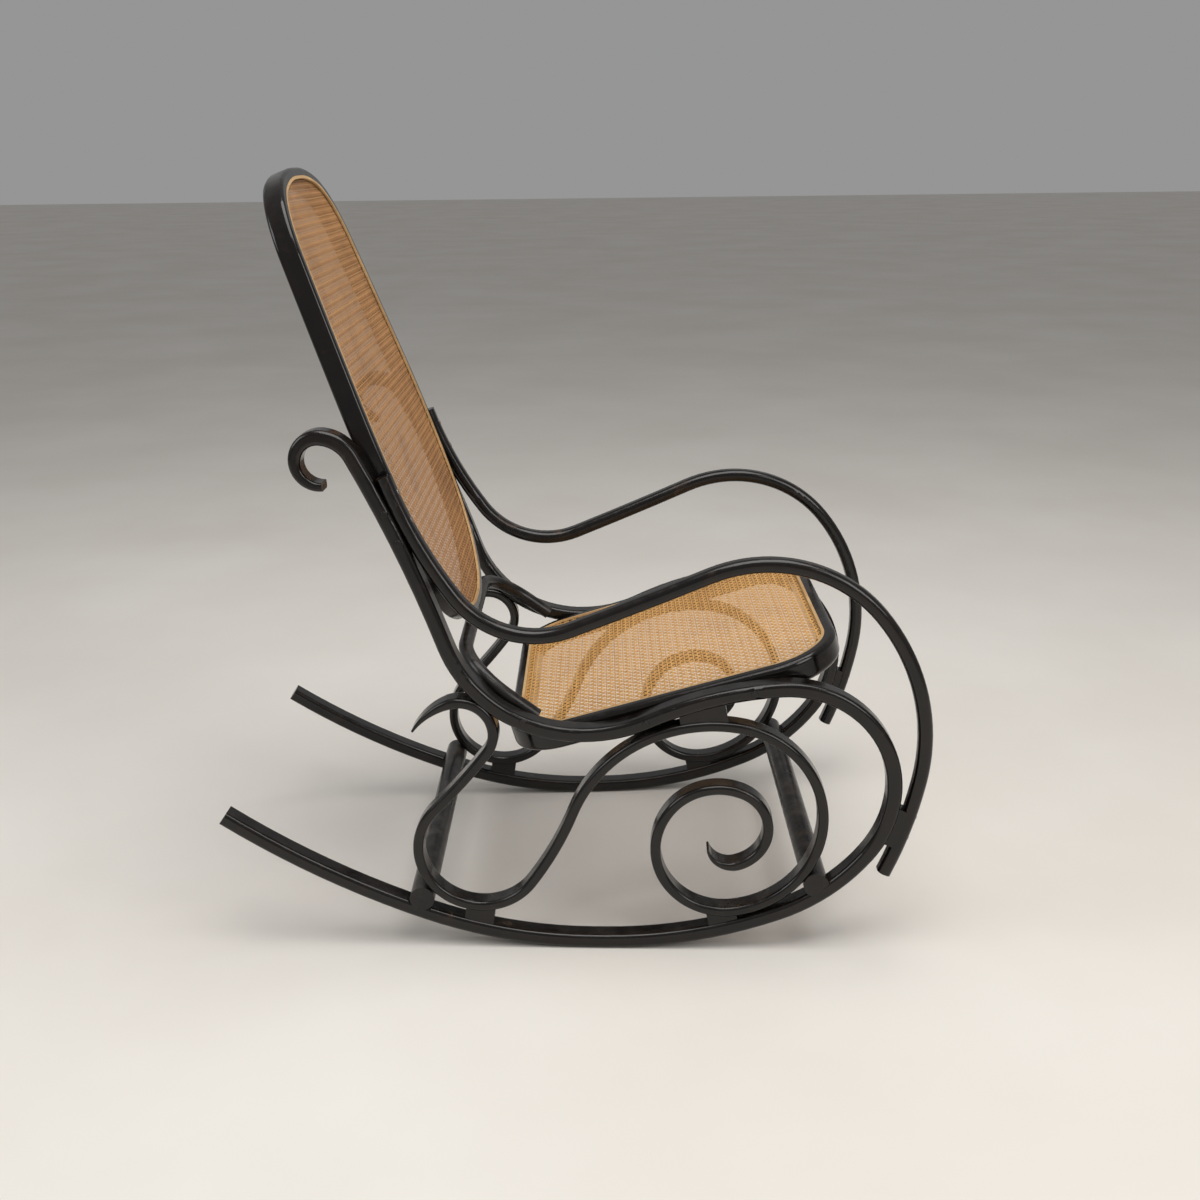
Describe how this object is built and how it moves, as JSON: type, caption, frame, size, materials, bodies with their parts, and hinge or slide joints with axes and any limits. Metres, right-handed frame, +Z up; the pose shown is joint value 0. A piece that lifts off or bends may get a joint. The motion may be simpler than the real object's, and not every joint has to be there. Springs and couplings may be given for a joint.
{
  "type": "rocking chair",
  "caption": "Bentwood rocking chair with scrolled side braces, curved arms, and a woven cane seat and back.",
  "frame": {"origin": "on the floor under the middle of the chair's bounding box", "axes": "+Z up; the chair faces -Y; +X is the sitter's left"},
  "size_m": [0.5498, 0.9506, 1.0276],
  "materials": {
    "lacquered_wood": "gloss",
    "seat_weave": "satin",
    "back_weave": "satin",
    "spline": "satin",
    "screw_steel": "satin"
  },
  "bodies": {
    "root": {"side_frame_right": "lacquered_wood", "side_frame_left": "lacquered_wood", "arm_right": "lacquered_wood", "arm_left": "lacquered_wood", "scroll_brace_right": "lacquered_wood", "scroll_brace_left": "lacquered_wood", "brace_top_block_right": "lacquered_wood", "brace_top_block_left": "lacquered_wood", "front_foot_block_right": "lacquered_wood", "front_foot_block_left": "lacquered_wood", "rear_foot_block_right": "lacquered_wood", "rear_foot_block_left": "lacquered_wood", "arm_block_right": "lacquered_wood", "arm_block_left": "lacquered_wood", "front_stretcher": "lacquered_wood", "rear_stretcher": "lacquered_wood", "seat_hoop": "lacquered_wood", "back_hoop": "lacquered_wood", "support_bow": "lacquered_wood", "seat_cane": "seat_weave", "back_cane": "back_weave", "seat_spline": "spline", "back_spline": "spline", "arm_top_screws": "screw_steel", "arm_foot_screws": "screw_steel", "seat_screws": "screw_steel", "back_screws": "screw_steel", "bow_end_screws": "screw_steel", "brace_top_screws": "screw_steel", "brace_foot_screws": "screw_steel", "hook_screws": "screw_steel", "stretcher_screws": "screw_steel", "bow_middle_screw": "screw_steel"}
  },
  "joints": []
}
